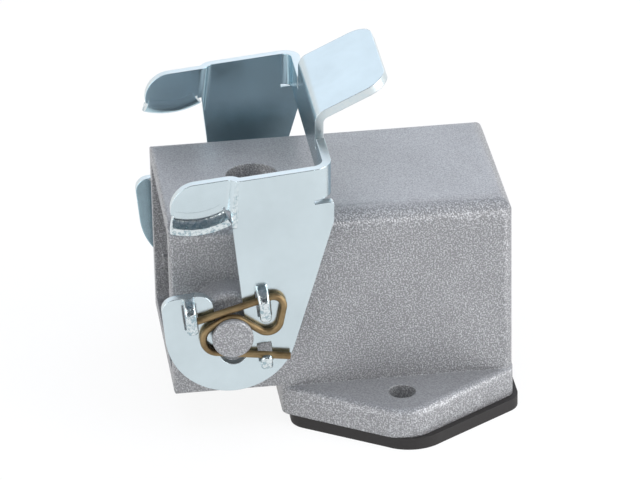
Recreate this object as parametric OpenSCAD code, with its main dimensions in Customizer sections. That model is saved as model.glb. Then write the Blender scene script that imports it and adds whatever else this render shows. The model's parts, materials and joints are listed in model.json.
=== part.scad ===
// Angled panel housing of a heavy-duty connector, with one locking lever.
// Millimetres. Panel plane at z = 0, mouth facing -X, lever hung on studs along Y.

/* [Mounting] */
// Distance between the two screw holes, across the housing
hole_spacing = 30; // [27:0.5:36]
// Clearance hole for the M3 mounting screws, through flange and gasket
hole_d = 3.2; // [3:0.1:4]
// Radius of the flange round each screw hole
lug_r = 4.8; // [4.4:0.1:6]
// Thickness of the flange
flange_t = 3.6; // [2.5:0.1:5]
// Rounding of the flange's upper edge
flange_edge_r = 1; // [0.4:0.1:1.6]

/* [Body] */
// Width of the body, across the mouth
body_w = 23; // [21:0.5:26]
// Height of the mouth, from the flange's top to the body's top
mouth_h = 22.4; // [21:0.1:26]
// From the hole line forward to the rim of the mouth
mouth_reach = 26.6; // [25:0.1:31]
// From the hole line forward to the front of the flange
flange_front = 13.8; // [13:0.1:16]
// From the hole line back to the rear face
body_back = 13.9; // [13:0.1:16]
// Wall of the casting
wall = 2; // [1.6:0.1:2.6]
// Rounding of the two long upper edges
top_edge_r = 2.5; // [1:0.1:3.5]
// Rounding of the upper rear edge
rear_edge_r = 2.1; // [0.6:0.1:3]
// Rounding of the upright rear edges
corner_r = 1.5; // [0.6:0.1:2.5]
// Small rounding left on the edges of the rim
rim_edge_r = 0.5; // [0.2:0.1:0.8]
// Diameter of the round opening in the top wall
window_d = 6.2; // [5:0.1:8]
// From the rim back to the middle of the opening in the top wall
window_back = 11.1; // [9:0.1:13]

/* [Insert seat] */
// From the rim to the cross web that the insert's screw enters
web_depth = 16; // [13:0.5:18]
// Thickness of the cross web
web_t = 3; // [2:0.1:4]
// Height of the cross web
web_h = 6; // [5:0.1:8]
// Tapping hole for the insert's M3 screw
web_hole_d = 2.5; // [2.3:0.1:3]
// Height of the guide rail on each inner wall of the mouth
rail_h = 1.6; // [1:0.1:2.5]
// How far the guide rail stands out of the wall
rail_out = 0.7; // [0.4:0.1:1]
// Height of the guide rail above the floor of the mouth
rail_up = 4.2; // [3:0.1:6]

/* [Gasket] */
// Thickness of the flange gasket
gasket_t = 1.5; // [1:0.1:2.5]
// How far the gasket stands out round the screw holes
gasket_proud = 0.3; // [0:0.05:0.6]
// How far the gasket stands out sideways at its corners
gasket_flare = 0.6; // [0:0.1:1]
// How far the gasket ends inside the flange's front and rear
gasket_short = 0.2; // [0:0.1:0.5]
// How far the gasket lies towards the rear
gasket_shift = 0.8; // [0:0.05:0.9]
// Corner rounding of the gasket
gasket_corner_r = 2.5; // [1.5:0.1:3.5]

/* [Pivot stud] */
// From the rim back to the stud's axis
stud_back = 6.5; // [5:0.1:8]
// Height of the stud's axis above the flange
stud_up = 10.4; // [9.4:0.1:11.5]
// Diameter of the boss at the foot of the stud
boss_d = 9; // [8:0.1:10]
// Rounding of the boss's edge
boss_edge_r = 0.8; // [0.3:0.1:1.2]
// Diameter of the neck the lever turns on
neck_d = 3.2; // [3:0.1:3.5]
// Diameter of the stud's head
head_d = 4.8; // [4.6:0.1:5.4]
// Thickness of the stud's head
head_t = 0.7; // [0.5:0.05:1.2]

/* [Lever] */
// Angle that the lever leans towards the mouth
lever_lean = 5; // [-4:1:20]
// Thickness of the lever's sheet
sheet_t = 1; // [0.8:0.05:1.2]
// Room between the body's side and the lever's ear for the mating hood
hood_room = 3; // [2.6:0.1:4]
// Step between the lever's plate and its ear
joggle = 0.8; // [0.5:0.05:1.1]
// Angle that the step's bend lines lean off the lever's upright
joggle_slant = 12; // [6:1:16]
// Radius of the round lower end of the plate
lobe_r = 7.7; // [7.2:0.1:8.4]
// Height of the hook's tip above the stud's axis
hook_h = 5.4; // [5:0.1:6.2]
// Depth of the slot below the stud's axis
slot_drop = 2.5; // [2:0.1:3]
// Height of the lever's upper edge above the stud's axis
lever_h = 19.3; // [18.6:0.1:21]
// From the stud's axis to the rear edge of the plate
arm_reach = 13.4; // [13:0.1:14.4]
// Height at which the rear edge starts to slant
arm_knee = 12.4; // [10.6:0.1:13.4]
// From the stud's axis forward to the tip of the ear
ear_reach = 5.1; // [4.5:0.1:5.8]
// Rounding of the ear's upper corner
ear_corner_r = 3.2; // [2:0.1:3.6]

/* [Cam lip] */
// Height of the lip's lowest fold above the stud's axis
lip_up = 15.2; // [14.7:0.1:15.5]
// Radius of the curve that the fold follows
lip_curve_r = 7.2; // [6.8:0.1:9.6]
// Radius inside the fold
lip_fold_r = 0.7; // [0.4:0.05:0.9]
// Angle that the lip is folded outwards
lip_angle = 74; // [60:1:85]
// Straight part of the lip past the fold
lip_len = 0.85; // [0.5:0.05:1.2]

/* [Bridge and thumb tab] */
// From the stud's axis to the inner face of the bridge, at its lower edge
bridge_reach = 12.6; // [12.2:0.1:13]
// Height of the bridge's lower edge above the stud's axis
bridge_up = 15.3; // [15:0.1:16]
// Angle that the bridge leans back from the plates
bridge_lean = 6; // [2:1:8]
// Radius inside the bends between bridge and plates
bridge_bend_r = 1.2; // [0.8:0.1:1.8]
// Width of the slit under the bridge's bends
slit = 0.4; // [0.35:0.05:0.6]
// Width of the thumb tab
tab_w = 15.6; // [13.6:0.1:18]
// Width of the relief notches beside the thumb tab
notch_w = 0.8; // [0.5:0.1:1.2]
// Depth of the relief notches
notch_d = 1.4; // [0.8:0.1:1.8]
// Upright part of the thumb tab above the bridge
tab_rise = 1.6; // [1.2:0.1:3]
// Radius inside the thumb tab's bend
tab_bend_r = 0.8; // [0.5:0.1:1.5]
// Angle that the thumb tab is bent back
tab_bend = 64; // [50:1:75]
// Straight part of the thumb tab past its bend
tab_len = 8.2; // [7:0.1:11]
// Rounding of the thumb tab's corners
tab_corner_r = 2.7; // [1:0.1:4]

/* [Spring wire] */
// Diameter of the spring wire
wire_d = 0.85; // [0.75:0.05:0.95]
// Room between the wire and the lever's plate
wire_room = 0.1; // [0.05:0.05:0.2]
// Room between the wire and its holders
holder_room = 0.25; // [0.2:0.05:0.35]
// Room between the wire and the stud's neck
wire_grip = 0.2; // [0.15:0.05:0.3]
// Room between the wire and the stud's head
head_room = 0.2; // [0.15:0.05:0.3]
// Width of the tabs that hold the wire
holder_w = 1.35; // [1.2:0.05:1.5]
// Thickness of the tabs that hold the wire
holder_t = 0.75; // [0.6:0.05:0.9]
// Straight end of the upper holders
holder_len = 2.1; // [1.6:0.1:2.3]

/* [Clearances] */
// Room at each side of the neck in the lever's slot
slot_room = 0.1; // [0.05:0.01:0.15]
// Room between the boss and the lever's plate
side_room = 0.3; // [0.2:0.05:0.5]

/* [Hidden] */
$fn = 64;
arc_n = 10;
cut = 0.5;
lap = 0.05;
bury = 0.01;
far = 60;
flange_z = gasket_t + flange_t;
body_top = flange_z + mouth_h;
half_w = body_w / 2;
lug_y = hole_spacing / 2;
rim_x = -mouth_reach;
stud_x = rim_x + stud_back;
stud_z = flange_z + stud_up;
web_x = rim_x + web_depth;
web_z = flange_z + mouth_h / 2;
ear_in = half_w + hood_room;
plate_in = ear_in + joggle;
plate_out = plate_in + sheet_t;
boss_end = plate_in - side_room;
wire_y = plate_out + wire_room + wire_d / 2;
head_in = wire_y + wire_d / 2 + head_room;
head_out = head_in + head_t;
slot_r = neck_d / 2 + slot_room;
joggle_len = 2 * joggle;
joggle_x = slot_r + 1.75;
ear_foot = arm_knee + 1;
lip_end = slot_r - 0.5;
lip_c = [(lip_end - ear_reach) / 2, lip_up + lip_curve_r];
lip_turn = asin((ear_reach + lip_end - 0.6) / 2 / lip_curve_r);
bridge_h = (lever_h - bridge_up) / cos(bridge_lean);
bend_out = bridge_bend_r + sheet_t;
holder_r = wire_room + wire_d + holder_room;
strand = (neck_d + wire_d) / 2 + wire_grip;

// Straight runs of the wire: direction of the run's normal, and its distance from the stud's axis.
wire_runs = [
    [101, strand + wire_d + 0.05],
    [-17, lobe_r - 2.4],
    [48, strand],
    [115, strand],
    [257, strand + 0.2]
];
wire_path = [
    on_run(wire_runs[0], -4.4),
    meet(wire_runs[0], wire_runs[1]),
    meet(wire_runs[1], wire_runs[2]),
    meet(wire_runs[2], wire_runs[3]),
    meet(wire_runs[3], wire_runs[4]),
    on_run(wire_runs[4], -7.1)
];
wire_bends = [0, 1.25, 1.5, strand, 1.8, 0];

// Middle of each wire holder: along the plate, and the height its bend is struck from.
upper_front = [3.2 - lobe_r, hook_h - holder_r - holder_t];
upper_rear = [slot_r + 2.4, hook_h + 0.25 - holder_r - holder_t];
lower = [slot_r + 1.9, on_run(wire_runs[4], -4.1)[1]];

function unit(v) = v / norm(v);
function half_angle(p, c, n) = acos(unit(p - c) * unit(n - c)) / 2;
function trim(p, c, n, r) = r / tan(half_angle(p, c, n));
function bend_centre(p, c, n, r) = c + unit(unit(p - c) + unit(n - c)) * r / sin(half_angle(p, c, n));
function heading(v) = atan2(v[1], v[0]);
function meet(a, b) =
    [a[1] * sin(b[0]) - b[1] * sin(a[0]), b[1] * cos(a[0]) - a[1] * cos(b[0])] / sin(b[0] - a[0]);
function on_run(a, s) = [a[1] * cos(a[0]) + s * sin(a[0]), a[1] * sin(a[0]) - s * cos(a[0])];
function arc(c, r, a, b) =
    [for (i = [0 : arc_n]) let (w = a + (b - a) * i / arc_n) c + r * [cos(w), sin(w)]];
function cross_z(a, b) = a[0] * b[1] - a[1] * b[0];
function touch(p, c, r, side) =
    let (a = heading(p - c) + side * acos(r / norm(p - c)))
    c + r * [cos(a), sin(a)];

module rounded(pts, radii) {
    n = len(pts);
    polygon([for (i = [0 : n - 1])
        let (c = pts[i], p = pts[(i + n - 1) % n], q = pts[(i + 1) % n], d = trim(p, c, q, radii[i]))
        each radii[i] == 0 ? [c] : [c + unit(p - c) * d, c + unit(q - c) * d]]);
    for (i = [0 : n - 1])
        if (radii[i] > 0)
            translate(bend_centre(pts[(i + n - 1) % n], pts[i], pts[(i + 1) % n], radii[i]))
                circle(r = radii[i]);
}

// A strip of sheet seen edge on: up one leg with its outer face on x = 0, then bent to the right.
module bent(leg, end, turn, r, t) {
    o = [t + r, leg];
    way = end * [sin(turn), cos(turn)];
    outer = arc(o, r + t, 180, 180 - turn);
    inner = arc(o, r, 180 - turn, 180);
    polygon(concat([[0, 0]], outer, [outer[arc_n] + way, inner[0] + way], inner, [[t, 0]]));
}

module along_x(x0, x1) {
    translate([x0, 0, 0])
        rotate([90, 0, 90])
            linear_extrude(x1 - x0)
                children();
}

module along_y(y0, y1) {
    translate([0, y1, 0])
        rotate([90, 0, 0])
            linear_extrude(y1 - y0)
                children();
}

module both_sides() {
    children();
    mirror([0, 1, 0])
        children();
}

module flange_plan(short, flare, proud, corner) {
    front = [short - flange_front, -half_w - flare];
    rear = [body_back - short, -half_w - flare];
    lug = [0, -lug_y];
    r = lug_r + proud - lap / 2;
    a = touch(front, lug, r, 1);
    b = touch(rear, lug, r, -1);
    flip = [[1, 0], [0, -1]];
    rounded(
        [front, a, b, rear, rear * flip, b * flip, a * flip, front * flip],
        [corner, 0, 0, corner, corner, 0, 0, corner]
    );
}

module flange_side(a, b) {
    u = unit(b - a);
    translate([a[0] - u[0] * far / 2, a[1] - u[1] * far / 2, 0])
        rotate([0, 0, heading(u) + 90])
            rotate([90, 0, 0])
                linear_extrude(2 * far)
                    rounded(
                        [[0, 0], [far, 0], [far, flange_z], [0, flange_z]],
                        [0, 0, 0, flange_edge_r]
                    );
}

module flange() {
    front = [-flange_front, -half_w];
    rear = [body_back, -half_w];
    lug = [0, -lug_y];
    r = lug_r - lap / 2;
    intersection() {
        translate([0, 0, gasket_t])
            linear_extrude(flange_t)
                flange_plan(0, 0, 0, corner_r);
        flange_side(front, touch(front, lug, r, 1));
        flange_side(touch(rear, lug, r, -1), rear);
        mirror([0, 1, 0])
            flange_side(front, touch(front, lug, r, 1));
        mirror([0, 1, 0])
            flange_side(touch(rear, lug, r, -1), rear);
    }
    both_sides()
        translate([0, -lug_y, gasket_t])
            rotate_extrude()
                intersection() {
                    rounded(
                        [[-lug_r, 0], [lug_r, 0], [lug_r, flange_t], [-lug_r, flange_t]],
                        [0, 0, flange_edge_r, flange_edge_r]
                    );
                    square([lug_r, flange_t]);
                }
}

module body_foot() {
    x0 = lap - flange_front;
    x1 = body_back - lap;
    y = half_w - lap / 2;
    translate([0, 0, gasket_t + flange_t / 2])
        linear_extrude(flange_t / 2 + wall / 2)
            rounded([[x0, -y], [x1, -y], [x1, y], [x0, y]], [0, corner_r, corner_r, 0]);
}

module body_block() {
    low = flange_z - lap;
    intersection() {
        along_x(rim_x, body_back)
            rounded(
                [[-half_w, low], [half_w, low], [half_w, body_top], [-half_w, body_top]],
                [rim_edge_r, rim_edge_r, top_edge_r, top_edge_r]
            );
        along_y(-half_w, half_w)
            rounded(
                [[rim_x, low], [body_back, low], [body_back, body_top], [rim_x, body_top]],
                [rim_edge_r, 0, rear_edge_r, rim_edge_r]
            );
        translate([0, 0, low])
            linear_extrude(body_top - low)
                rounded(
                    [[rim_x, -half_w], [body_back, -half_w], [body_back, half_w], [rim_x, half_w]],
                    [rim_edge_r, corner_r, corner_r, rim_edge_r]
                );
    }
}

module stud() {
    boss_r = boss_d / 2;
    translate([stud_x, 0, stud_z])
        rotate([90, 0, 0]) {
            rotate_extrude()
                intersection() {
                    rounded(
                        [
                            [-boss_r, half_w - wall / 2],
                            [boss_r, half_w - wall / 2],
                            [boss_r, boss_end],
                            [-boss_r, boss_end]
                        ],
                        [0, 0, boss_edge_r, boss_edge_r]
                    );
                    square([boss_r, boss_end]);
                }
            translate([0, 0, half_w])
                cylinder(d = neck_d, h = head_out - half_w);
            translate([0, 0, head_in])
                cylinder(d = head_d, h = head_t - 0.2);
            translate([0, 0, head_out - 0.2])
                cylinder(d1 = head_d, d2 = head_d - 0.4, h = 0.2);
        }
}

module bore_section(y, z0, z1) {
    rounded([[-y, z0], [y, z0], [y, z1], [-y, z1]], [1, 1, 1, 1]);
}

module cavity() {
    y = half_w - wall;
    along_x(rim_x - cut, body_back - wall)
        bore_section(y, flange_z + wall, body_top - wall);
    translate([0, 0, -cut])
        linear_extrude(flange_z + mouth_h / 2)
            rounded(
                [
                    [wall - flange_front, -y],
                    [body_back - wall, -y],
                    [body_back - wall, y],
                    [wall - flange_front, y]
                ],
                [1, 1, 1, 1]
            );
}

module window() {
    translate([rim_x + window_back, 0, body_top - 2 * wall])
        cylinder(d = window_d, h = 3 * wall);
}

module insert_seat() {
    y = half_w - wall / 2;
    translate([web_x, -y, web_z - web_h / 2])
        cube([web_t, 2 * y, web_h]);
    both_sides()
        translate([rim_x + 1, -half_w + wall / 2, flange_z + wall + rail_up])
            cube([web_depth - 1, wall / 2 + rail_out, rail_h]);
}

module housing() {
    color([0.58, 0.58, 0.6])
        difference() {
            union() {
                difference() {
                    union() {
                        flange();
                        body_foot();
                        body_block();
                    }
                    cavity();
                    window();
                }
                insert_seat();
                both_sides()
                    stud();
            }
            both_sides()
                translate([0, -lug_y, 0])
                    cylinder(d = hole_d, h = flange_z + cut);
            translate([web_x - cut, 0, web_z])
                rotate([0, 90, 0])
                    cylinder(d = web_hole_d, h = web_t + 2 * cut);
        }
}

module flange_gasket() {
    y = half_w - wall;
    color([0.13, 0.13, 0.13])
        difference() {
            translate([gasket_shift, 0, 0])
                linear_extrude(gasket_t) {
                    flange_plan(gasket_short, gasket_flare, gasket_proud, gasket_corner_r);
                    for (s = [-1, 1])
                        translate([0, s * lug_y])
                            circle(r = lug_r + gasket_proud);
                }
            translate([wall - flange_front, -y, -cut])
                cube([flange_front + body_back - 2 * wall, 2 * y, gasket_t + 2 * cut]);
            both_sides()
                translate([0, -lug_y, -cut])
                    cylinder(d = hole_d, h = gasket_t + 2 * cut);
        }
}

module on_stud() {
    translate([stud_x, 0, stud_z])
        rotate([0, -lever_lean, 0])
            children();
}

module slot() {
    translate([0, -slot_drop])
        circle(r = slot_r);
    translate([-slot_r, -slot_drop])
        square([2 * slot_r, slot_drop + hook_h + 2]);
}

module plate_outline() {
    knee = [arm_reach, arm_knee];
    bend_x = bridge_reach - bridge_bend_r;
    top_x = bend_x + (lever_h - bridge_up) * tan(bridge_lean);
    step = bridge_up - slit;
    difference() {
        union() {
            intersection() {
                circle(r = lobe_r);
                translate([-far, -2 * far])
                    square(2 * far);
            }
            rounded(
                [[-lobe_r, -cut], [-slot_r, -cut], [-slot_r, hook_h], [-lobe_r, hook_h]],
                [0, 0, 1.8, 1.6]
            );
            rounded(
                [
                    [0, 0],
                    touch(knee, [0, 0], lobe_r, -1),
                    knee,
                    [arm_reach + 0.3, step],
                    [bend_x, step],
                    [bend_x, bridge_up],
                    [top_x, lever_h],
                    [joggle_x, lever_h],
                    [joggle_x - (lever_h - ear_foot) * tan(joggle_slant), ear_foot],
                    [slot_r, ear_foot],
                    [slot_r, 0]
                ],
                [0, 0, 1, 0.4, 0, 0, 0, 0, 0, 0, 0]
            );
        }
        slot();
        for (h = [upper_front, upper_rear])
            translate([h[0] - holder_w / 2 - 0.15, h[1] - holder_len - 0.1])
                square([holder_w + 0.3, holder_len + holder_r]);
        translate([lower[0] - holder_w / 2 - 0.15, lower[1] - holder_r + 0.1])
            square([holder_w + 0.3, holder_r + 1.2]);
    }
}

module ear_outline() {
    intersection() {
        rounded(
            [
                [-ear_reach, ear_foot],
                [joggle_x + 1, ear_foot],
                [joggle_x + 1, lever_h],
                [-ear_reach, lever_h]
            ],
            [0, 0, 0, ear_corner_r]
        );
        union() {
            translate(lip_c)
                circle(r = lip_curve_r);
            translate([lip_end, lip_up + 0.3])
                square([joggle_x + 1 - lip_end, lever_h]);
            translate([slot_r, ear_foot])
                square([joggle_x + 1 - slot_r, lever_h]);
        }
    }
}

module ear_sheet() {
    turn = 2 * atan(joggle / joggle_len);
    r = joggle_len / 2 / sin(turn);
    t = sheet_t / 2 - bury;
    plate_mid = plate_in + sheet_t / 2;
    ear_mid = ear_in + sheet_t / 2;
    x = joggle_x * cos(joggle_slant);
    a = [x, r - plate_mid];
    b = [x - joggle_len, -r - ear_mid];
    right = x + far;
    left = x - far;
    polygon(concat(
        [[right, -plate_mid - t]],
        arc(a, r + t, 270, 270 - turn),
        arc(b, r - t, 90 - turn, 90),
        [[left, -ear_mid - t], [left, t - ear_mid]],
        arc(b, r + t, 90, 90 - turn),
        arc(a, r - t, 270 - turn, 270),
        [[right, t - plate_mid]]
    ));
}

module lip_section() {
    lead = 0.6;
    translate([lip_curve_r - lead, ear_in])
        mirror([0, 1])
            rotate(-90)
                bent(lead, lip_len, lip_angle, lip_fold_r, sheet_t);
}

module ear() {
    intersection() {
        along_y(-plate_out - cut, -ear_in + cut)
            ear_outline();
        translate([0, 0, lever_h])
            rotate([0, joggle_slant, 0])
                translate([0, 0, -far])
                    linear_extrude(2 * far)
                        ear_sheet();
    }
    translate([lip_c[0], 0, lip_c[1]])
        rotate([90, 0, 0])
            rotate([0, 0, 270 - lip_turn])
                rotate_extrude(angle = 2 * lip_turn)
                    lip_section();
}

module holder_section(end) {
    translate([-sheet_t / 2, holder_r + holder_t])
        rotate(-90)
            bent(sheet_t / 2, end, 90, holder_r, holder_t);
}

module holder_front(low, high, low_r, high_r) {
    y = -plate_out - holder_r - 2 * holder_t;
    w = holder_w / 2;
    along_y(y, cut - plate_in)
        rounded([[-w, low], [w, low], [w, high], [-w, high]], [low_r, low_r, high_r, high_r]);
}

module holder_over(at) {
    translate([at[0], 0, at[1]])
        intersection() {
            translate([0, -plate_out, 0])
                along_x(-holder_w, holder_w)
                    mirror([1, 0])
                        holder_section(holder_len);
            holder_front(-holder_len, holder_r + holder_t + cut, 0.5, 0);
        }
}

module holder_under(at) {
    translate([at[0], 0, at[1]])
        intersection() {
            translate([0, -plate_out, 0])
                along_x(-holder_w, holder_w)
                    mirror([1, 0])
                        mirror([0, 1])
                            holder_section(0.4);
            holder_front(-holder_r - holder_t - cut, 0.4, 0, 0.5);
        }
}

module bridge_plan() {
    leg = bend_out + 2;
    out = plate_out - bury;
    in = plate_in + bury;
    difference() {
        rounded([[-leg, -out], [sheet_t, -out], [sheet_t, out], [-leg, out]], [0, bend_out, bend_out, 0]);
        rounded(
            [[-leg - cut, -in], [0, -in], [0, in], [-leg - cut, in]],
            [0, bridge_bend_r, bridge_bend_r, 0]
        );
    }
}

module thumb_tab() {
    y = tab_w / 2;
    intersection() {
        along_y(-y - cut, y + cut)
            translate([0, bridge_h - notch_d])
                bent(notch_d + tab_rise, tab_len, tab_bend, tab_bend_r, sheet_t);
        translate([sheet_t + tab_bend_r, 0, bridge_h + tab_rise])
            rotate([0, tab_bend - 90, 0])
                translate([0, 0, -far])
                    linear_extrude(2 * far)
                        rounded(
                            [[-far, -y], [tab_len, -y], [tab_len, y], [-far, y]],
                            [0, tab_corner_r, tab_corner_r, 0]
                        );
    }
}

module bridge() {
    difference() {
        intersection() {
            at_bridge()
                translate([0, 0, -1])
                    linear_extrude(bridge_h + 2)
                        bridge_plan();
            translate([bridge_reach - bend_out - 0.6, -far, bridge_up])
                cube([far, 2 * far, lever_h - bridge_up - bury]);
        }
        for (s = [-1, 1])
            translate([bridge_reach - 1, s * (tab_w + notch_w) / 2 - notch_w / 2, lever_h - notch_d])
                cube([4, notch_w, 2 * notch_d]);
    }
    at_bridge()
        thumb_tab();
}

module at_bridge() {
    translate([bridge_reach, 0, bridge_up])
        rotate([0, bridge_lean, 0])
            children();
}

module locking_lever() {
    color([0.78, 0.82, 0.85])
        on_stud() {
            both_sides() {
                along_y(-plate_out, -plate_in)
                    plate_outline();
                ear();
                holder_over(upper_front);
                holder_over(upper_rear);
                holder_under(lower);
            }
            bridge();
        }
}

module wire_run(a, b) {
    u = unit(b - a);
    translate([a[0] - lap * u[0], a[1] - lap * u[1], 0])
        rotate([0, 90, heading(u)])
            cylinder(d = wire_d - bury, h = norm(b - a) + 2 * lap);
}

module wire_bend(p, c, n, r) {
    o = bend_centre(p, c, n, r);
    left = cross_z(c - p, n - c) > 0;
    d = trim(p, c, n, r);
    first = left ? c + unit(p - c) * d : c + unit(n - c) * d;
    translate([o[0], o[1], 0])
        rotate([0, 0, heading(first - o)])
            rotate_extrude(angle = 180 - 2 * half_angle(p, c, n))
                translate([r, 0])
                    circle(d = wire_d);
}

module spring_clip() {
    n = len(wire_path);
    color([0.55, 0.43, 0.28])
        on_stud()
            translate([0, -wire_y, 0])
                rotate([90, 0, 0]) {
                    for (i = [0 : n - 2]) {
                        a = wire_path[i];
                        b = wire_path[i + 1];
                        u = unit(b - a);
                        start = i == 0 ? 0 : trim(wire_path[i - 1], a, b, wire_bends[i]);
                        stop = i == n - 2 ? 0 : trim(a, b, wire_path[i + 2], wire_bends[i + 1]);
                        wire_run(a + u * start, b - u * stop);
                    }
                    for (i = [1 : n - 2])
                        wire_bend(wire_path[i - 1], wire_path[i], wire_path[i + 1], wire_bends[i]);
                }
}

module spring_clip_near() {
    spring_clip();
}

module spring_clip_far() {
    mirror([0, 1, 0])
        spring_clip();
}

housing();
flange_gasket();
locking_lever();
spring_clip_near();
spring_clip_far();
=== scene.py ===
"""Looks of an angled connector housing with a locking lever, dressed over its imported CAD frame."""

import json
import math

import bpy
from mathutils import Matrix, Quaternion, Vector
from mathutils.bvhtree import BVHTree

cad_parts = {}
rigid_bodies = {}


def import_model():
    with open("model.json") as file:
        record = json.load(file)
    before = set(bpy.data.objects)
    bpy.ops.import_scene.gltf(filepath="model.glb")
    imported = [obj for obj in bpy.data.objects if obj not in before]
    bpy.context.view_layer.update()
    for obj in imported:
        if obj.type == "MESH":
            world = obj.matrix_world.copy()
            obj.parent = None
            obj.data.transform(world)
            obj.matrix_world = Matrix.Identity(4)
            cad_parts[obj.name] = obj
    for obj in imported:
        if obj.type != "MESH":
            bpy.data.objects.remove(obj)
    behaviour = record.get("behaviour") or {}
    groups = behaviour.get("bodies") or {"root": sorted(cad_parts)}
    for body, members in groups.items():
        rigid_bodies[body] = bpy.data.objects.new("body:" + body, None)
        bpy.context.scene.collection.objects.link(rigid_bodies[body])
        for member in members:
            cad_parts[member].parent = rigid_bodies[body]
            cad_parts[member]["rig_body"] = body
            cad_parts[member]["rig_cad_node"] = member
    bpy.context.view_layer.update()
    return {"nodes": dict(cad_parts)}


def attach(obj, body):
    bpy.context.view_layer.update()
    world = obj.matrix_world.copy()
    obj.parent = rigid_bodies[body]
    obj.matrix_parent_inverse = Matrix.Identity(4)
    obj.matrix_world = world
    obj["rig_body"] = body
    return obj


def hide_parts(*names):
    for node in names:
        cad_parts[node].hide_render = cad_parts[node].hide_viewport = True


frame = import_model()

bl_info = {
    "name": "Angled connector housing",
    "version": (1, 0, 0),
    "blender": (4, 5, 0),
    "location": "3D View > Sidebar > Connector",
    "description": "Dresses the CAD frame of an angled connector housing with a locking lever",
    "category": "Object",
}

MM = 0.001

# Corners of a CAD mesh that lie closer than this become one. The casting's blends leave wider slivers.
CASTING_WELD = 0.028 * MM
FINE_WELD = 0.006 * MM
# A face thinner than the weld over this number is dissolved.
SLIVER_PART = 5
# Bends sharper than these are picked for rounding and keep a hard line in the shading.
ROUNDED_BEND = math.radians(35)
SHADED_BEND = math.radians(32)
HOLDER_SEGMENTS = 3
EDGE_SAMPLES = 8

# Where the lever's wire holders and cam lips lie, from the middle, from the screw holes and from the panel
HOLDER_OUT = 16.4 * MM
HOLDER_TOP = 25 * MM
LIP_OUT = 15.6 * MM
LIP_BACK = -18.9 * MM
LIP_LOW = 25 * MM
LIP_HIGH = 31.9 * MM
# A face with more metal behind it than this many sheets is a cut edge. The look starts just under the skin.
CUT_EDGE_SHEETS = 1.25
SKIN = 0.01 * MM


def linear(code):
    """Linear colour of an sRGB hex value."""
    parts = [int(code[i : i + 2], 16) / 255 for i in (1, 3, 5)]
    return tuple(c / 12.92 if c <= 0.04045 else ((c + 0.055) / 1.055) ** 2.4 for c in parts)


def add(tree, kind, settings=None, values=None, links=None, stops=None):
    """Adds a node with its settings, socket values, incoming links and colour stops."""
    node = tree.nodes.new(kind)
    for name, value in (settings or {}).items():
        setattr(node, name, value)
    for name, value in (values or {}).items():
        node.inputs[name].default_value = value
    for name, source in (links or {}).items():
        tree.links.new(source, node.inputs[name])
    for i, (place, colour) in enumerate(stops or []):
        elements = node.color_ramp.elements
        stop = elements[i] if i < len(elements) else elements.new(place)
        stop.position = place
        stop.color = (*colour, 1)
    return node


def new_material(name):
    """An empty node material."""
    material = bpy.data.materials.new(name)
    material.use_nodes = True
    material.node_tree.nodes.clear()
    return material


def hammer_finish_enamel(look):
    """Grey hammer-finish enamel on a die-casting."""
    # Sprayed enamel with metal flake: a fine grain of light and dark specks over a pebbled, half-gloss skin.
    # On faces that lie level the wet paint has flowed out, so its skin is smoother; there the grain's colour
    # is also painted fainter, a painted sheen that washes out the specks.
    cloud_size = 6 * MM
    middle_grain = 0.52
    relief = 0.45 * look.grain
    material = new_material("hammer_finish_enamel")
    tree = material.node_tree
    place = add(tree, "ShaderNodeTexCoord")
    grain = add(
        tree,
        "ShaderNodeTexNoise",
        values={"Scale": 1 / look.grain, "Detail": 1.0, "Roughness": 0.5},
        links={"Vector": place.outputs["Object"]},
    )
    # Painted sheen: on faces that look up, the grain's colour fades towards a middle grey.
    facing = add(tree, "ShaderNodeSeparateXYZ", links={"Vector": place.outputs["Normal"]})
    flow = add(
        tree,
        "ShaderNodeMapRange",
        values={"From Min": 0.75, "From Max": 0.98, "To Min": 0, "To Max": look.flow},
        links={"Value": facing.outputs["Z"]},
    )
    specks = add(
        tree,
        "ShaderNodeMix",
        values={"B": middle_grain},
        links={"Factor": flow.outputs["Result"], "A": grain.outputs["Fac"]},
    )
    tint = add(
        tree,
        "ShaderNodeValToRGB",
        links={"Fac": specks.outputs["Result"]},
        stops=[(0.45, look.dark_grain), (0.7, look.light_grain)],
    )
    clouds = add(
        tree,
        "ShaderNodeTexNoise",
        values={"Scale": 1 / cloud_size, "Detail": 2.0},
        links={"Vector": place.outputs["Object"]},
    )
    shade = add(
        tree,
        "ShaderNodeMapRange",
        values={"From Min": 0.3, "From Max": 0.7, "To Min": 0.95, "To Max": 1.05},
        links={"Value": clouds.outputs["Fac"]},
    )
    paint = add(
        tree,
        "ShaderNodeVectorMath",
        settings={"operation": "SCALE"},
        links={"Vector": tint.outputs["Color"], "Scale": shade.outputs["Result"]},
    )
    gloss = add(
        tree,
        "ShaderNodeMapRange",
        values={"From Min": 0.3, "From Max": 0.7, "To Min": 0.52, "To Max": 0.36},
        links={"Value": specks.outputs["Result"]},
    )
    soft = add(tree, "ShaderNodeBevel", settings={"samples": EDGE_SAMPLES}, values={"Radius": look.edge})
    pebble = add(
        tree,
        "ShaderNodeBump",
        values={"Strength": 1.0, "Distance": relief},
        links={"Normal": soft.outputs["Normal"], "Height": specks.outputs["Result"]},
    )
    skin = add(
        tree,
        "ShaderNodeBsdfPrincipled",
        values={"Metallic": 0.5, "IOR": 1.5},
        links={
            "Base Color": paint.outputs["Vector"],
            "Roughness": gloss.outputs["Result"],
            "Normal": pebble.outputs["Normal"],
        },
    )
    add(tree, "ShaderNodeOutputMaterial", links={"Surface": skin.outputs["BSDF"]})
    return material


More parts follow.
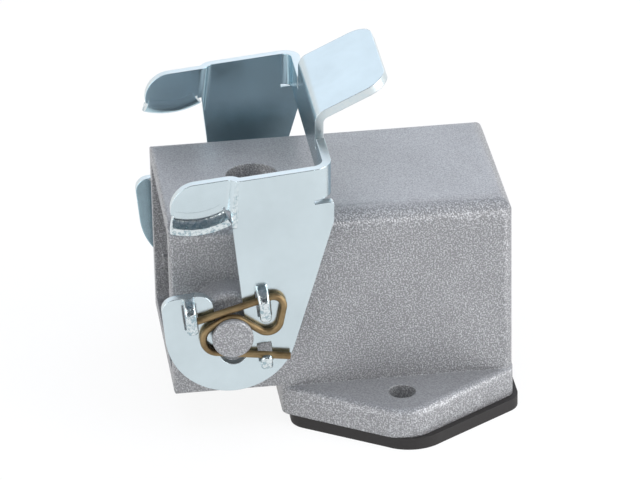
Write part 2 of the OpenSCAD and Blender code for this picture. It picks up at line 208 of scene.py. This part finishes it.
def blue_passivated_zinc(look):
    """Bright zinc plating with blue passivation on pressed steel sheet."""
    # Electroplated sheet: a cool, nearly mirror-bright metal with cloudy patches and faint handling marks.
    # On the inner faces of the plates and ears, and at the bridge's ends, the plating is painted bluer and a
    # little darker: a painted bluish reflection.
    cloud_size = 7 * MM
    rub_size = 0.9 * MM
    reflection_span = 16 * MM
    plating_and_reflection_stops = [(0.5, look.zinc), (0.66, look.zinc_blue_reflection), (0.958, look.zinc_blue_reflection), (0.968, look.zinc)]
    material = new_material("blue_passivated_zinc")
    tree = material.node_tree
    place = add(tree, "ShaderNodeTexCoord")
    clouds = add(
        tree,
        "ShaderNodeTexNoise",
        values={"Scale": 1 / cloud_size, "Detail": 3.0},
        links={"Vector": place.outputs["Object"]},
    )
    axes = add(tree, "ShaderNodeSeparateXYZ", links={"Vector": place.outputs["Object"]})
    out = add(
        tree,
        "ShaderNodeMath",
        settings={"operation": "ABSOLUTE"},
        links={0: axes.outputs["Y"]},
    )
    side = add(
        tree,
        "ShaderNodeMapRange",
        values={"From Min": 0, "From Max": reflection_span},
        links={"Value": out.outputs["Value"]},
    )
    # Painted reflection: from about 8 to 15.5 mm off the middle the zinc takes the bluer colour.
    plating_and_reflection = add(
        tree,
        "ShaderNodeValToRGB",
        links={"Fac": side.outputs["Result"]},
        stops=plating_and_reflection_stops,
    )
    shade = add(
        tree,
        "ShaderNodeMapRange",
        values={"From Min": 0.3, "From Max": 0.7, "To Min": 0.93, "To Max": 1.02},
        links={"Value": clouds.outputs["Fac"]},
    )
    tint = add(
        tree,
        "ShaderNodeVectorMath",
        settings={"operation": "SCALE"},
        links={"Vector": plating_and_reflection.outputs["Color"], "Scale": shade.outputs["Result"]},
    )
    rubbed = add(
        tree,
        "ShaderNodeTexNoise",
        values={"Scale": 1 / rub_size, "Detail": 2.0},
        links={"Vector": place.outputs["Object"]},
    )
    gloss = add(
        tree,
        "ShaderNodeMapRange",
        values={"From Min": 0.3, "From Max": 0.7, "To Min": 0.2, "To Max": 0.27},
        links={"Value": rubbed.outputs["Fac"]},
    )
    soft = add(tree, "ShaderNodeBevel", settings={"samples": EDGE_SAMPLES}, values={"Radius": look.edge})
    ripple = add(
        tree,
        "ShaderNodeBump",
        values={"Strength": 0.06, "Distance": 0.05 * MM},
        links={"Normal": soft.outputs["Normal"], "Height": clouds.outputs["Fac"]},
    )
    metal = add(
        tree,
        "ShaderNodeBsdfPrincipled",
        values={"Metallic": 1.0},
        links={
            "Base Color": tint.outputs["Vector"],
            "Roughness": gloss.outputs["Result"],
            "Normal": ripple.outputs["Normal"],
        },
    )
    add(tree, "ShaderNodeOutputMaterial", links={"Surface": metal.outputs["BSDF"]})
    return material


def sheared_zinc_edge(look):
    """The sheared edge of the plated sheet."""
    # Stamped edge under the plating: brighter and rougher than the sheet, with a torn grain.
    tear_size = 0.4 * MM
    material = new_material("sheared_zinc_edge")
    tree = material.node_tree
    place = add(tree, "ShaderNodeTexCoord")
    torn = add(
        tree,
        "ShaderNodeTexNoise",
        values={"Scale": 1 / tear_size, "Detail": 3.0, "Roughness": 0.7},
        links={"Vector": place.outputs["Object"]},
    )
    tint = add(
        tree,
        "ShaderNodeValToRGB",
        links={"Fac": torn.outputs["Fac"]},
        stops=[(0.3, look.zinc), (0.6, look.cut_edge_and_highlight)],
    )
    gloss = add(
        tree,
        "ShaderNodeMapRange",
        values={"From Min": 0.3, "From Max": 0.7, "To Min": 0.3, "To Max": 0.42},
        links={"Value": torn.outputs["Fac"]},
    )
    soft = add(tree, "ShaderNodeBevel", settings={"samples": EDGE_SAMPLES}, values={"Radius": look.edge})
    metal = add(
        tree,
        "ShaderNodeBsdfPrincipled",
        values={"Metallic": 1.0},
        links={
            "Base Color": tint.outputs["Color"],
            "Roughness": gloss.outputs["Result"],
            "Normal": soft.outputs["Normal"],
        },
    )
    add(tree, "ShaderNodeOutputMaterial", links={"Surface": metal.outputs["BSDF"]})
    return material


def drawn_zinc_painted_flashes(look):
    """Zinc plating where the sheet is bent or lanced, with painted highlights and painted shade."""
    # Drawn sheet: the plating is stretched into short wrinkles; their bright and dark flashes are painted
    # into the colour as painted highlights and painted shade, and the dark colour also paints the dark
    # reflection on the rolled lips.
    wrinkle_size = 0.45 * MM
    material = new_material("drawn_zinc_painted_flashes")
    tree = material.node_tree
    place = add(tree, "ShaderNodeTexCoord")
    wrinkles_and_flashes = add(
        tree,
        "ShaderNodeTexNoise",
        values={"Scale": 1 / wrinkle_size, "Detail": 2.0, "Roughness": 0.6},
        links={"Vector": place.outputs["Object"]},
    )
    # Painted highlights and painted shade: the wrinkle noise swings the colour between a dark and a bright
    # zinc.
    tint = add(
        tree,
        "ShaderNodeValToRGB",
        links={"Fac": wrinkles_and_flashes.outputs["Fac"]},
        stops=[(0.36, look.zinc_painted_shade), (0.56, look.cut_edge_and_highlight)],
    )
    gloss = add(
        tree,
        "ShaderNodeMapRange",
        values={"From Min": 0.3, "From Max": 0.7, "To Min": 0.28, "To Max": 0.18},
        links={"Value": wrinkles_and_flashes.outputs["Fac"]},
    )
    soft = add(tree, "ShaderNodeBevel", settings={"samples": EDGE_SAMPLES}, values={"Radius": look.edge})
    folds = add(
        tree,
        "ShaderNodeBump",
        values={"Strength": 0.6, "Distance": 0.12 * MM},
        links={"Normal": soft.outputs["Normal"], "Height": wrinkles_and_flashes.outputs["Fac"]},
    )
    metal = add(
        tree,
        "ShaderNodeBsdfPrincipled",
        values={"Metallic": 1.0},
        links={
            "Base Color": tint.outputs["Color"],
            "Roughness": gloss.outputs["Result"],
            "Normal": folds.outputs["Normal"],
        },
    )
    add(tree, "ShaderNodeOutputMaterial", links={"Surface": metal.outputs["BSDF"]})
    return material


def bronze_spring_wire(look):
    """Hard-drawn spring wire with a brown-bronze finish."""
    # Drawn wire: satin metal that goes from straw to brown in short patches along its length.
    patch_size = 1.6 * MM
    material = new_material("bronze_spring_wire")
    tree = material.node_tree
    place = add(tree, "ShaderNodeTexCoord")
    patches = add(
        tree,
        "ShaderNodeTexNoise",
        values={"Scale": 1 / patch_size, "Detail": 3.0},
        links={"Vector": place.outputs["Object"]},
    )
    tint = add(
        tree,
        "ShaderNodeValToRGB",
        links={"Fac": patches.outputs["Fac"]},
        stops=[(0.32, look.brown), (0.68, look.straw)],
    )
    gloss = add(
        tree,
        "ShaderNodeMapRange",
        values={"From Min": 0.3, "From Max": 0.7, "To Min": 0.42, "To Max": 0.56},
        links={"Value": patches.outputs["Fac"]},
    )
    soft = add(tree, "ShaderNodeBevel", settings={"samples": EDGE_SAMPLES}, values={"Radius": look.edge})
    metal = add(
        tree,
        "ShaderNodeBsdfPrincipled",
        values={"Metallic": 1.0},
        links={
            "Base Color": tint.outputs["Color"],
            "Roughness": gloss.outputs["Result"],
            "Normal": soft.outputs["Normal"],
        },
    )
    add(tree, "ShaderNodeOutputMaterial", links={"Surface": metal.outputs["BSDF"]})
    return material


def moulded_gasket_rubber(look):
    """Black moulded rubber."""
    # Moulded rubber: nearly black and matt, with a dusty bloom and a fine pebble.
    bloom_size = 2.5 * MM
    pebble_size = 0.3 * MM
    material = new_material("moulded_gasket_rubber")
    tree = material.node_tree
    place = add(tree, "ShaderNodeTexCoord")
    bloom = add(
        tree,
        "ShaderNodeTexNoise",
        values={"Scale": 1 / bloom_size, "Detail": 4.0, "Roughness": 0.65},
        links={"Vector": place.outputs["Object"]},
    )
    tint = add(
        tree,
        "ShaderNodeValToRGB",
        links={"Fac": bloom.outputs["Fac"]},
        stops=[(0.3, look.rubber), (0.75, look.bloom)],
    )
    pebble = add(
        tree,
        "ShaderNodeTexNoise",
        values={"Scale": 1 / pebble_size, "Detail": 1.0},
        links={"Vector": place.outputs["Object"]},
    )
    gloss = add(
        tree,
        "ShaderNodeMapRange",
        values={"From Min": 0.3, "From Max": 0.7, "To Min": 0.55, "To Max": 0.75},
        links={"Value": bloom.outputs["Fac"]},
    )
    soft = add(tree, "ShaderNodeBevel", settings={"samples": EDGE_SAMPLES}, values={"Radius": look.edge})
    skin = add(
        tree,
        "ShaderNodeBump",
        values={"Strength": 0.2, "Distance": 0.05 * MM},
        links={"Normal": soft.outputs["Normal"], "Height": pebble.outputs["Fac"]},
    )
    rubber = add(
        tree,
        "ShaderNodeBsdfPrincipled",
        values={"IOR": 1.5},
        links={
            "Base Color": tint.outputs["Color"],
            "Roughness": gloss.outputs["Result"],
            "Normal": skin.outputs["Normal"],
        },
    )
    add(tree, "ShaderNodeOutputMaterial", links={"Surface": rubber.outputs["BSDF"]})
    return material


def picture_rays(tree):
    """Adds a value of 1 for rays of the camera, of mirrors and of glass, and 0 for those of soft light."""
    path = add(tree, "ShaderNodeLightPath")
    seen = add(
        tree,
        "ShaderNodeMath",
        settings={"operation": "MAXIMUM"},
        links={0: path.outputs["Is Camera Ray"], 1: path.outputs["Is Glossy Ray"]},
    )
    return add(
        tree,
        "ShaderNodeMath",
        settings={"operation": "MAXIMUM"},
        links={0: seen.outputs["Value"], 1: path.outputs["Is Transmission Ray"]},
    )


def seamless_paper(look):
    """White studio paper under the object."""
    # Paper roll: matt and even, plain white in the picture with a light shadow left on it.
    material = new_material("seamless_paper")
    tree = material.node_tree
    shown = picture_rays(tree)
    share = add(
        tree,
        "ShaderNodeMath",
        settings={"operation": "MULTIPLY"},
        values={1: look.white_share},
        links={0: shown.outputs["Value"]},
    )
    paper = add(tree, "ShaderNodeBsdfDiffuse", values={"Color": (*look.paper, 1)})
    white = add(tree, "ShaderNodeEmission", values={"Strength": 1.0})
    both = add(
        tree,
        "ShaderNodeMixShader",
        links={0: share.outputs["Value"], 1: paper.outputs["BSDF"], 2: white.outputs["Emission"]},
    )
    add(tree, "ShaderNodeOutputMaterial", links={"Surface": both.outputs["Shader"]})
    return material


def grey_card(shade):
    """Matt studio card outside the picture."""
    # Matt board: an even grey that shows only as a mirrored shade in the bright plating.
    material = new_material("grey_card")
    tree = material.node_tree
    card = add(tree, "ShaderNodeBsdfDiffuse", values={"Color": (*shade, 1)})
    add(tree, "ShaderNodeOutputMaterial", links={"Surface": card.outputs["BSDF"]})
    return material


def only(piece):
    """Makes one object the selected and active one."""
    bpy.ops.object.select_all(action="DESELECT")
    piece.select_set(True)
    bpy.context.view_layer.objects.active = piece


def is_holder(spot):
    """Tells whether a point of the lever lies on a wire holder, outside the side plates."""
    return abs(spot.y) > HOLDER_OUT and spot.z < HOLDER_TOP


def is_lip(spot):
    """Tells whether a point of the lever lies on a rolled cam lip."""
    return abs(spot.y) > LIP_OUT and spot.x < LIP_BACK and LIP_LOW < spot.z < LIP_HIGH


def round_holders(piece, width):
    """Rounds the edges of the wire holders."""
    bpy.ops.object.mode_set(mode="EDIT")
    bpy.ops.mesh.select_mode(type="EDGE")
    bpy.ops.mesh.select_all(action="DESELECT")
    bpy.ops.mesh.edges_select_sharp(sharpness=ROUNDED_BEND)
    bpy.ops.object.mode_set(mode="OBJECT")
    mesh = piece.data
    weights = mesh.attributes.new("bevel_weight_edge", "FLOAT", "EDGE")
    for edge in mesh.edges:
        ends = [mesh.vertices[corner].co for corner in edge.vertices]
        weights.data[edge.index].value = edge.select and all(is_holder(spot) for spot in ends)
    bpy.ops.object.modifier_add(type="BEVEL")
    rounding = piece.modifiers[-1]
    rounding.width = width
    rounding.segments = HOLDER_SEGMENTS
    rounding.limit_method = "WEIGHT"
    rounding.use_clamp_overlap = False
    rounding.loop_slide = False
    bpy.ops.object.modifier_apply(modifier=rounding.name)


def dressed_copy(node, materials, weld, bead=0):
    """Stands a copy of a CAD node in its place, with joined corners, no slivers and smooth shading."""
    source = frame["nodes"][node]
    body = source["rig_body"]
    only(source)
    bpy.ops.object.duplicate()
    piece = bpy.context.view_layer.objects.active
    if piece is source:
        raise RuntimeError(f"{node} could not be copied")
    piece.name = f"{node}_finished"
    piece.parent = None
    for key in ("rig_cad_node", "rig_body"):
        del piece[key]
    bpy.ops.mesh.customdata_custom_splitnormals_clear()
    bpy.ops.object.mode_set(mode="EDIT")
    bpy.ops.mesh.select_all(action="SELECT")
    bpy.ops.mesh.remove_doubles(threshold=weld)
    bpy.ops.mesh.dissolve_degenerate(threshold=weld / SLIVER_PART)
    bpy.ops.object.mode_set(mode="OBJECT")
    if bead:
        round_holders(piece, bead)
    bpy.ops.object.shade_smooth_by_angle(angle=SHADED_BEND)
    piece.data.materials.clear()
    for material in materials:
        piece.data.materials.append(material)
    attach(piece, body)
    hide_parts(node)
    return piece


def mark_sheet(piece, sheet):
    """Gives the second material to the cut edges and the third, with its painted highlights and painted
    shade, to the sharply bent places.
    """
    mesh = piece.data
    tree = BVHTree.FromPolygons([v.co for v in mesh.vertices], [p.vertices for p in mesh.polygons])
    for face in mesh.polygons:
        start = face.center - face.normal * SKIN
        depth = tree.ray_cast(start, -face.normal)[3]
        face.material_index = 1 if depth is not None and depth > CUT_EDGE_SHEETS * sheet else 0
        # The holders and lips take the zinc with painted shade and highlights.
        if is_holder(face.center) or is_lip(face.center):
            face.material_index = 2


class CastingLook(bpy.types.PropertyGroup):
    """Paint and edges of the casting."""

    light_grain: bpy.props.FloatVectorProperty(
        name="Light grain",
        description="Colour of the light specks in the hammer finish",
        subtype="COLOR",
        min=0,
        max=1,
        default=linear("#C0C0C2"),
    )
    dark_grain: bpy.props.FloatVectorProperty(
        name="Dark grain",
        description="Colour of the dark specks in the hammer finish",
        subtype="COLOR",
        min=0,
        max=1,
        default=linear("#888889"),
    )
    grain: bpy.props.FloatProperty(
        name="Grain",
        description="Width of one speck of the hammer finish",
        unit="LENGTH",
        default=0.18 * MM,
    )
    # Also sets the painted sheen: how far the grain's colour fades on level faces.
    flow: bpy.props.FloatProperty(
        name="Flow",
        description="How much of the grain has flowed out on level faces",
        subtype="FACTOR",
        min=0,
        max=1,
        default=0.7,
    )
    edge: bpy.props.FloatProperty(
        name="Edge",
        description="Rounding that the paint leaves on a sharp edge",
        unit="LENGTH",
        default=0.2 * MM,
    )


class GasketLook(bpy.types.PropertyGroup):
    """Rubber of the flange gasket."""

    rubber: bpy.props.FloatVectorProperty(
        name="Rubber",
        description="Colour of the clean rubber",
        subtype="COLOR",
        min=0,
        max=1,
        default=linear("#191616"),
    )
    bloom: bpy.props.FloatVectorProperty(
        name="Bloom",
        description="Colour of the dusty bloom on the rubber",
        subtype="COLOR",
        min=0,
        max=1,
        default=linear("#272423"),
    )
    edge: bpy.props.FloatProperty(
        name="Edge",
        description="Rounding of the gasket's edges",
        unit="LENGTH",
        default=0.12 * MM,
    )


class LeverLook(bpy.types.PropertyGroup):
    """Plating and edges of the locking lever."""

    zinc: bpy.props.FloatVectorProperty(
        name="Zinc",
        description="Colour of the bright plating",
        subtype="COLOR",
        min=0,
        max=1,
        default=linear("#CDDADF"),
    )
    # Painted bluish reflection, laid on the plating at the bridge's ends and inner faces.
    zinc_blue_reflection: bpy.props.FloatVectorProperty(
        name="Inner zinc",
        description="Colour of the plating inside the fold",
        subtype="COLOR",
        min=0,
        max=1,
        default=linear("#BCD7E2"),
    )
    # Painted shade: the dark zinc of the bent plating and the rolled lips.
    zinc_painted_shade: bpy.props.FloatVectorProperty(
        name="Stretched zinc",
        description="Colour in the wrinkles of the bent plating",
        subtype="COLOR",
        min=0,
        max=1,
        default=linear("#9DB2BA"),
    )
    # Also the painted highlight on the crests of the bent plating.
    cut_edge_and_highlight: bpy.props.FloatVectorProperty(
        name="Cut edge",
        description="Colour of the sheared edges and of the crests of the bent plating",
        subtype="COLOR",
        min=0,
        max=1,
        default=linear("#D8E0E2"),
    )
    sheet: bpy.props.FloatProperty(
        name="Sheet",
        description="Thickness of the lever's sheet",
        unit="LENGTH",
        default=1.0 * MM,
    )
    edge: bpy.props.FloatProperty(
        name="Edge",
        description="Rounding of the sheet's edges",
        unit="LENGTH",
        default=0.13 * MM,
    )
    bead: bpy.props.FloatProperty(
        name="Bead",
        description="Rounding of the wire holders",
        unit="LENGTH",
        default=0.3 * MM,
    )


class WireLook(bpy.types.PropertyGroup):
    """Finish of the spring wires."""

    straw: bpy.props.FloatVectorProperty(
        name="Straw",
        description="Lighter colour of the wire",
        subtype="COLOR",
        min=0,
        max=1,
        default=linear("#A18C69"),
    )
    brown: bpy.props.FloatVectorProperty(
        name="Brown",
        description="Darker colour of the wire",
        subtype="COLOR",
        min=0,
        max=1,
        default=linear("#7B674B"),
    )
    edge: bpy.props.FloatProperty(
        name="Edge",
        description="Rounding of the wire's cut ends",
        unit="LENGTH",
        default=0.08 * MM,
    )


class StageLook(bpy.types.PropertyGroup):
    """Floor, light and camera."""

    paper: bpy.props.FloatVectorProperty(
        name="Paper",
        description="Colour of the paper floor",
        subtype="COLOR",
        min=0,
        max=1,
        default=linear("#F8F8F8"),
    )
    white_share: bpy.props.FloatProperty(
        name="White share",
        description="How much of the floor shows as plain white in the picture",
        subtype="FACTOR",
        min=0,
        max=1,
        default=0.9,
    )
    card: bpy.props.FloatVectorProperty(
        name="Card",
        description="Colour of the dark card behind the camera",
        subtype="COLOR",
        min=0,
        max=1,
        default=linear("#5A6068"),
    )
    ceiling: bpy.props.FloatVectorProperty(
        name="Ceiling",
        description="Colour of the card overhead",
        subtype="COLOR",
        min=0,
        max=1,
        default=linear("#A4AAB0"),
    )
    light: bpy.props.FloatVectorProperty(
        name="Light",
        description="Colour of the soft box overhead",
        subtype="COLOR",
        min=0,
        max=1,
        default=linear("#EEF4FF"),
    )
    back_light: bpy.props.FloatVectorProperty(
        name="Back light colour",
        description="Colour of the soft box behind the object",
        subtype="COLOR",
        min=0,
        max=1,
        default=linear("#A4D2FF"),
    )
    front_light: bpy.props.FloatVectorProperty(
        name="Front light colour",
        description="Colour of the soft boxes at the front",
        subtype="COLOR",
        min=0,
        max=1,
        default=linear("#FFFFFF"),
    )
    top_power: bpy.props.FloatProperty(
        name="Top light",
        description="Power of the soft light overhead",
        unit="POWER",
        default=3.7,
    )
    back_power: bpy.props.FloatProperty(
        name="Back light",
        description="Power of the soft light behind the object",
        unit="POWER",
        default=0.3,
    )
    front_power: bpy.props.FloatProperty(
        name="Front light",
        description="Power of the soft light at the front",
        unit="POWER",
        default=1.22,
    )
    fill: bpy.props.FloatProperty(
        name="Fill",
        description="Strength of the light from all round",
        min=0,
        default=0.16,
    )
    lens: bpy.props.FloatProperty(
        name="Lens",
        description="Focal length of the camera",
        unit="CAMERA",
        default=260.02,
    )


class CONNECTOR_OT_housing(bpy.types.Operator):
    """Dress the painted casting"""

    bl_idname = "connector.housing"
    bl_label = "Housing"

    def execute(self, context):
        look = context.scene.connector_casting
        dressed_copy("housing", [hammer_finish_enamel(look)], CASTING_WELD)
        return {"FINISHED"}


class CONNECTOR_OT_gasket(bpy.types.Operator):
    """Dress the rubber gasket under the flange"""

    bl_idname = "connector.gasket"
    bl_label = "Flange gasket"

    def execute(self, context):
        look = context.scene.connector_gasket
        rubber = moulded_gasket_rubber(look)
        dressed_copy("flange_gasket", [rubber], FINE_WELD)
        return {"FINISHED"}


class CONNECTOR_OT_lever(bpy.types.Operator):
    """Dress the plated locking lever and its sheared edges"""

    bl_idname = "connector.lever"
    bl_label = "Locking lever"

    def execute(self, context):
        look = context.scene.connector_lever
        finishes = [blue_passivated_zinc(look), sheared_zinc_edge(look), drawn_zinc_painted_flashes(look)]
        lever = dressed_copy("locking_lever", finishes, FINE_WELD, look.bead)
        mark_sheet(lever, look.sheet)
        return {"FINISHED"}


class CONNECTOR_OT_clips(bpy.types.Operator):
    """Dress the spring wires that hold the lever on its studs"""

    bl_idname = "connector.clips"
    bl_label = "Spring clips"

    def execute(self, context):
        look = context.scene.connector_wire
        wire = bronze_spring_wire(look)
        for node in ("spring_clip_near", "spring_clip_far"):
            dressed_copy(node, [wire], FINE_WELD)
        return {"FINISHED"}


class CONNECTOR_OT_stage(bpy.types.Operator):
    """Set the paper floor, the soft lights and the camera"""

    bl_idname = "connector.stage"
    bl_label = "Stage"

    def execute(self, context):
        look = context.scene.connector_stage
        scene = context.scene
        scene.view_settings.view_transform = "Standard"
        self.floor(look)
        self.lights(scene, look)
        self.camera(scene, look)
        return {"FINISHED"}

    def floor(self, look):
        """White paper on the panel plane, and grey cards for the plating to mirror."""
        paper_size = 4.0
        bpy.ops.object.select_all(action="DESELECT")
        bpy.ops.mesh.primitive_plane_add(size=paper_size, location=(0, 0, 0))
        paper = bpy.context.view_layer.objects.active
        paper.name = "paper_floor"
        paper.data.materials.append(seamless_paper(look))
        cards = (
            ("front_card", (0, -1.0, 0.45), (math.pi / 2, 0, 0), (2.2, 0.75, 1), look.card),
            ("ceiling_card", (0, -0.1, 0.9), (0, 0, 0), (2.2, 1.7, 1), look.ceiling),
        )
        for name, place, turn, size, shade in cards:
            bpy.ops.object.select_all(action="DESELECT")
            bpy.ops.mesh.primitive_plane_add(size=1.0, location=place, rotation=turn)
            card = bpy.context.view_layer.objects.active
            card.name = name
            card.scale = size
            card.visible_camera = False
            card.data.materials.append(grey_card(shade))

    def lights(self, scene, look):
        """Soft boxes overhead, behind and at both sides of the front, in a white room."""
        rear_power = look.top_power * 0.22
        right_power = look.front_power * 2.6
        left_power = look.front_power * 1.3
        boxes = (
            ("top_box", (0.05, -0.1, 0.52), (0.8, 0.6), look.light, look.top_power),
            ("rear_box", (0.34, 0.42, 0.42), (0.8, 0.5), look.light, rear_power),
            ("back_box", (-0.12, 0.62, 0.33), (0.9, 0.36), look.back_light, look.back_power),
            ("right_box", (0.52, -0.32, 0.22), (0.5, 0.5), look.front_light, right_power),
            ("left_box", (-0.44, -0.42, 0.22), (0.5, 0.5), look.front_light, left_power),
        )
        aim = Vector((-0.008, 0, 0.015))
        for name, place, size, colour, power in boxes:
            bpy.ops.object.select_all(action="DESELECT")
            bpy.ops.object.light_add(type="AREA", location=place)
            lamp = bpy.context.view_layer.objects.active
            lamp.name = name
            lamp.data.shape = "RECTANGLE"
            lamp.data.size, lamp.data.size_y = size
            lamp.data.energy = power
            lamp.data.color = colour
            # The overhead box lights the paint without a white patch in the plating.
            lamp.visible_glossy = name != "top_box"
            lamp.rotation_euler = (aim - Vector(place)).to_track_quat("-Z", "Y").to_euler()
        world = bpy.data.worlds.new("white_room")
        scene.world = world
        world.use_nodes = True
        tree = world.node_tree
        tree.nodes.clear()
        shown = picture_rays(tree)
        level = add(
            tree,
            "ShaderNodeMapRange",
            values={"To Min": look.fill, "To Max": 1.0},
            links={"Value": shown.outputs["Value"]},
        )
        room = add(
            tree,
            "ShaderNodeBackground",
            values={"Color": (1, 1, 1, 1)},
            links={"Strength": level.outputs["Result"]},
        )
        add(tree, "ShaderNodeOutputWorld", links={"Surface": room.outputs["Background"]})

    def camera(self, scene, look):
        """The photograph's view: from a little left of square on, and from above."""
        azimuth = math.radians(-6.920)
        elevation = math.radians(27.484)
        roll = math.radians(-1.237)
        target = Vector((-7.539, 0, 18.156)) * MM
        distance = 551.386 * MM
        back = Vector(
            (
                math.sin(azimuth) * math.cos(elevation),
                -math.cos(azimuth) * math.cos(elevation),
                math.sin(elevation),
            )
        )
        bpy.ops.object.select_all(action="DESELECT")
        bpy.ops.object.camera_add(location=target + back * distance)
        camera = bpy.context.view_layer.objects.active
        camera.name = "photo_camera"
        camera.rotation_mode = "QUATERNION"
        camera.rotation_quaternion = back.to_track_quat("Z", "Y") @ Quaternion((0, 0, 1), roll)
        camera.data.sensor_width = 36
        camera.data.lens = look.lens
        camera.data.clip_start = 0.01
        camera.data.clip_end = 20
        scene.camera = camera


class CONNECTOR_PT_panel(bpy.types.Panel):
    """Pieces of the connector housing"""

    bl_idname = "CONNECTOR_PT_panel"
    bl_label = "Connector housing"
    bl_space_type = "VIEW_3D"
    bl_region_type = "UI"
    bl_category = "Connector"

    def draw(self, context):
        for operator in OPERATORS:
            self.layout.operator(operator.bl_idname)


LOOKS = {
    "connector_casting": CastingLook,
    "connector_gasket": GasketLook,
    "connector_lever": LeverLook,
    "connector_wire": WireLook,
    "connector_stage": StageLook,
}
OPERATORS = (
    CONNECTOR_OT_housing,
    CONNECTOR_OT_gasket,
    CONNECTOR_OT_lever,
    CONNECTOR_OT_clips,
    CONNECTOR_OT_stage,
)
CLASSES = (*LOOKS.values(), *OPERATORS, CONNECTOR_PT_panel)


def register():
    """Registers the classes and hangs the looks on the scene."""
    for cls in CLASSES:
        bpy.utils.register_class(cls)
    for name, look in LOOKS.items():
        setattr(bpy.types.Scene, name, bpy.props.PointerProperty(type=look))


def unregister():
    """Takes the looks and the classes away again."""
    for name in LOOKS:
        delattr(bpy.types.Scene, name)
    for cls in reversed(CLASSES):
        bpy.utils.unregister_class(cls)


def main():
    """Builds every piece and the stage."""
    register()
    bpy.ops.connector.housing()
    bpy.ops.connector.gasket()
    bpy.ops.connector.lever()
    bpy.ops.connector.clips()
    bpy.ops.connector.stage()


if __name__ == "__main__":
    main()
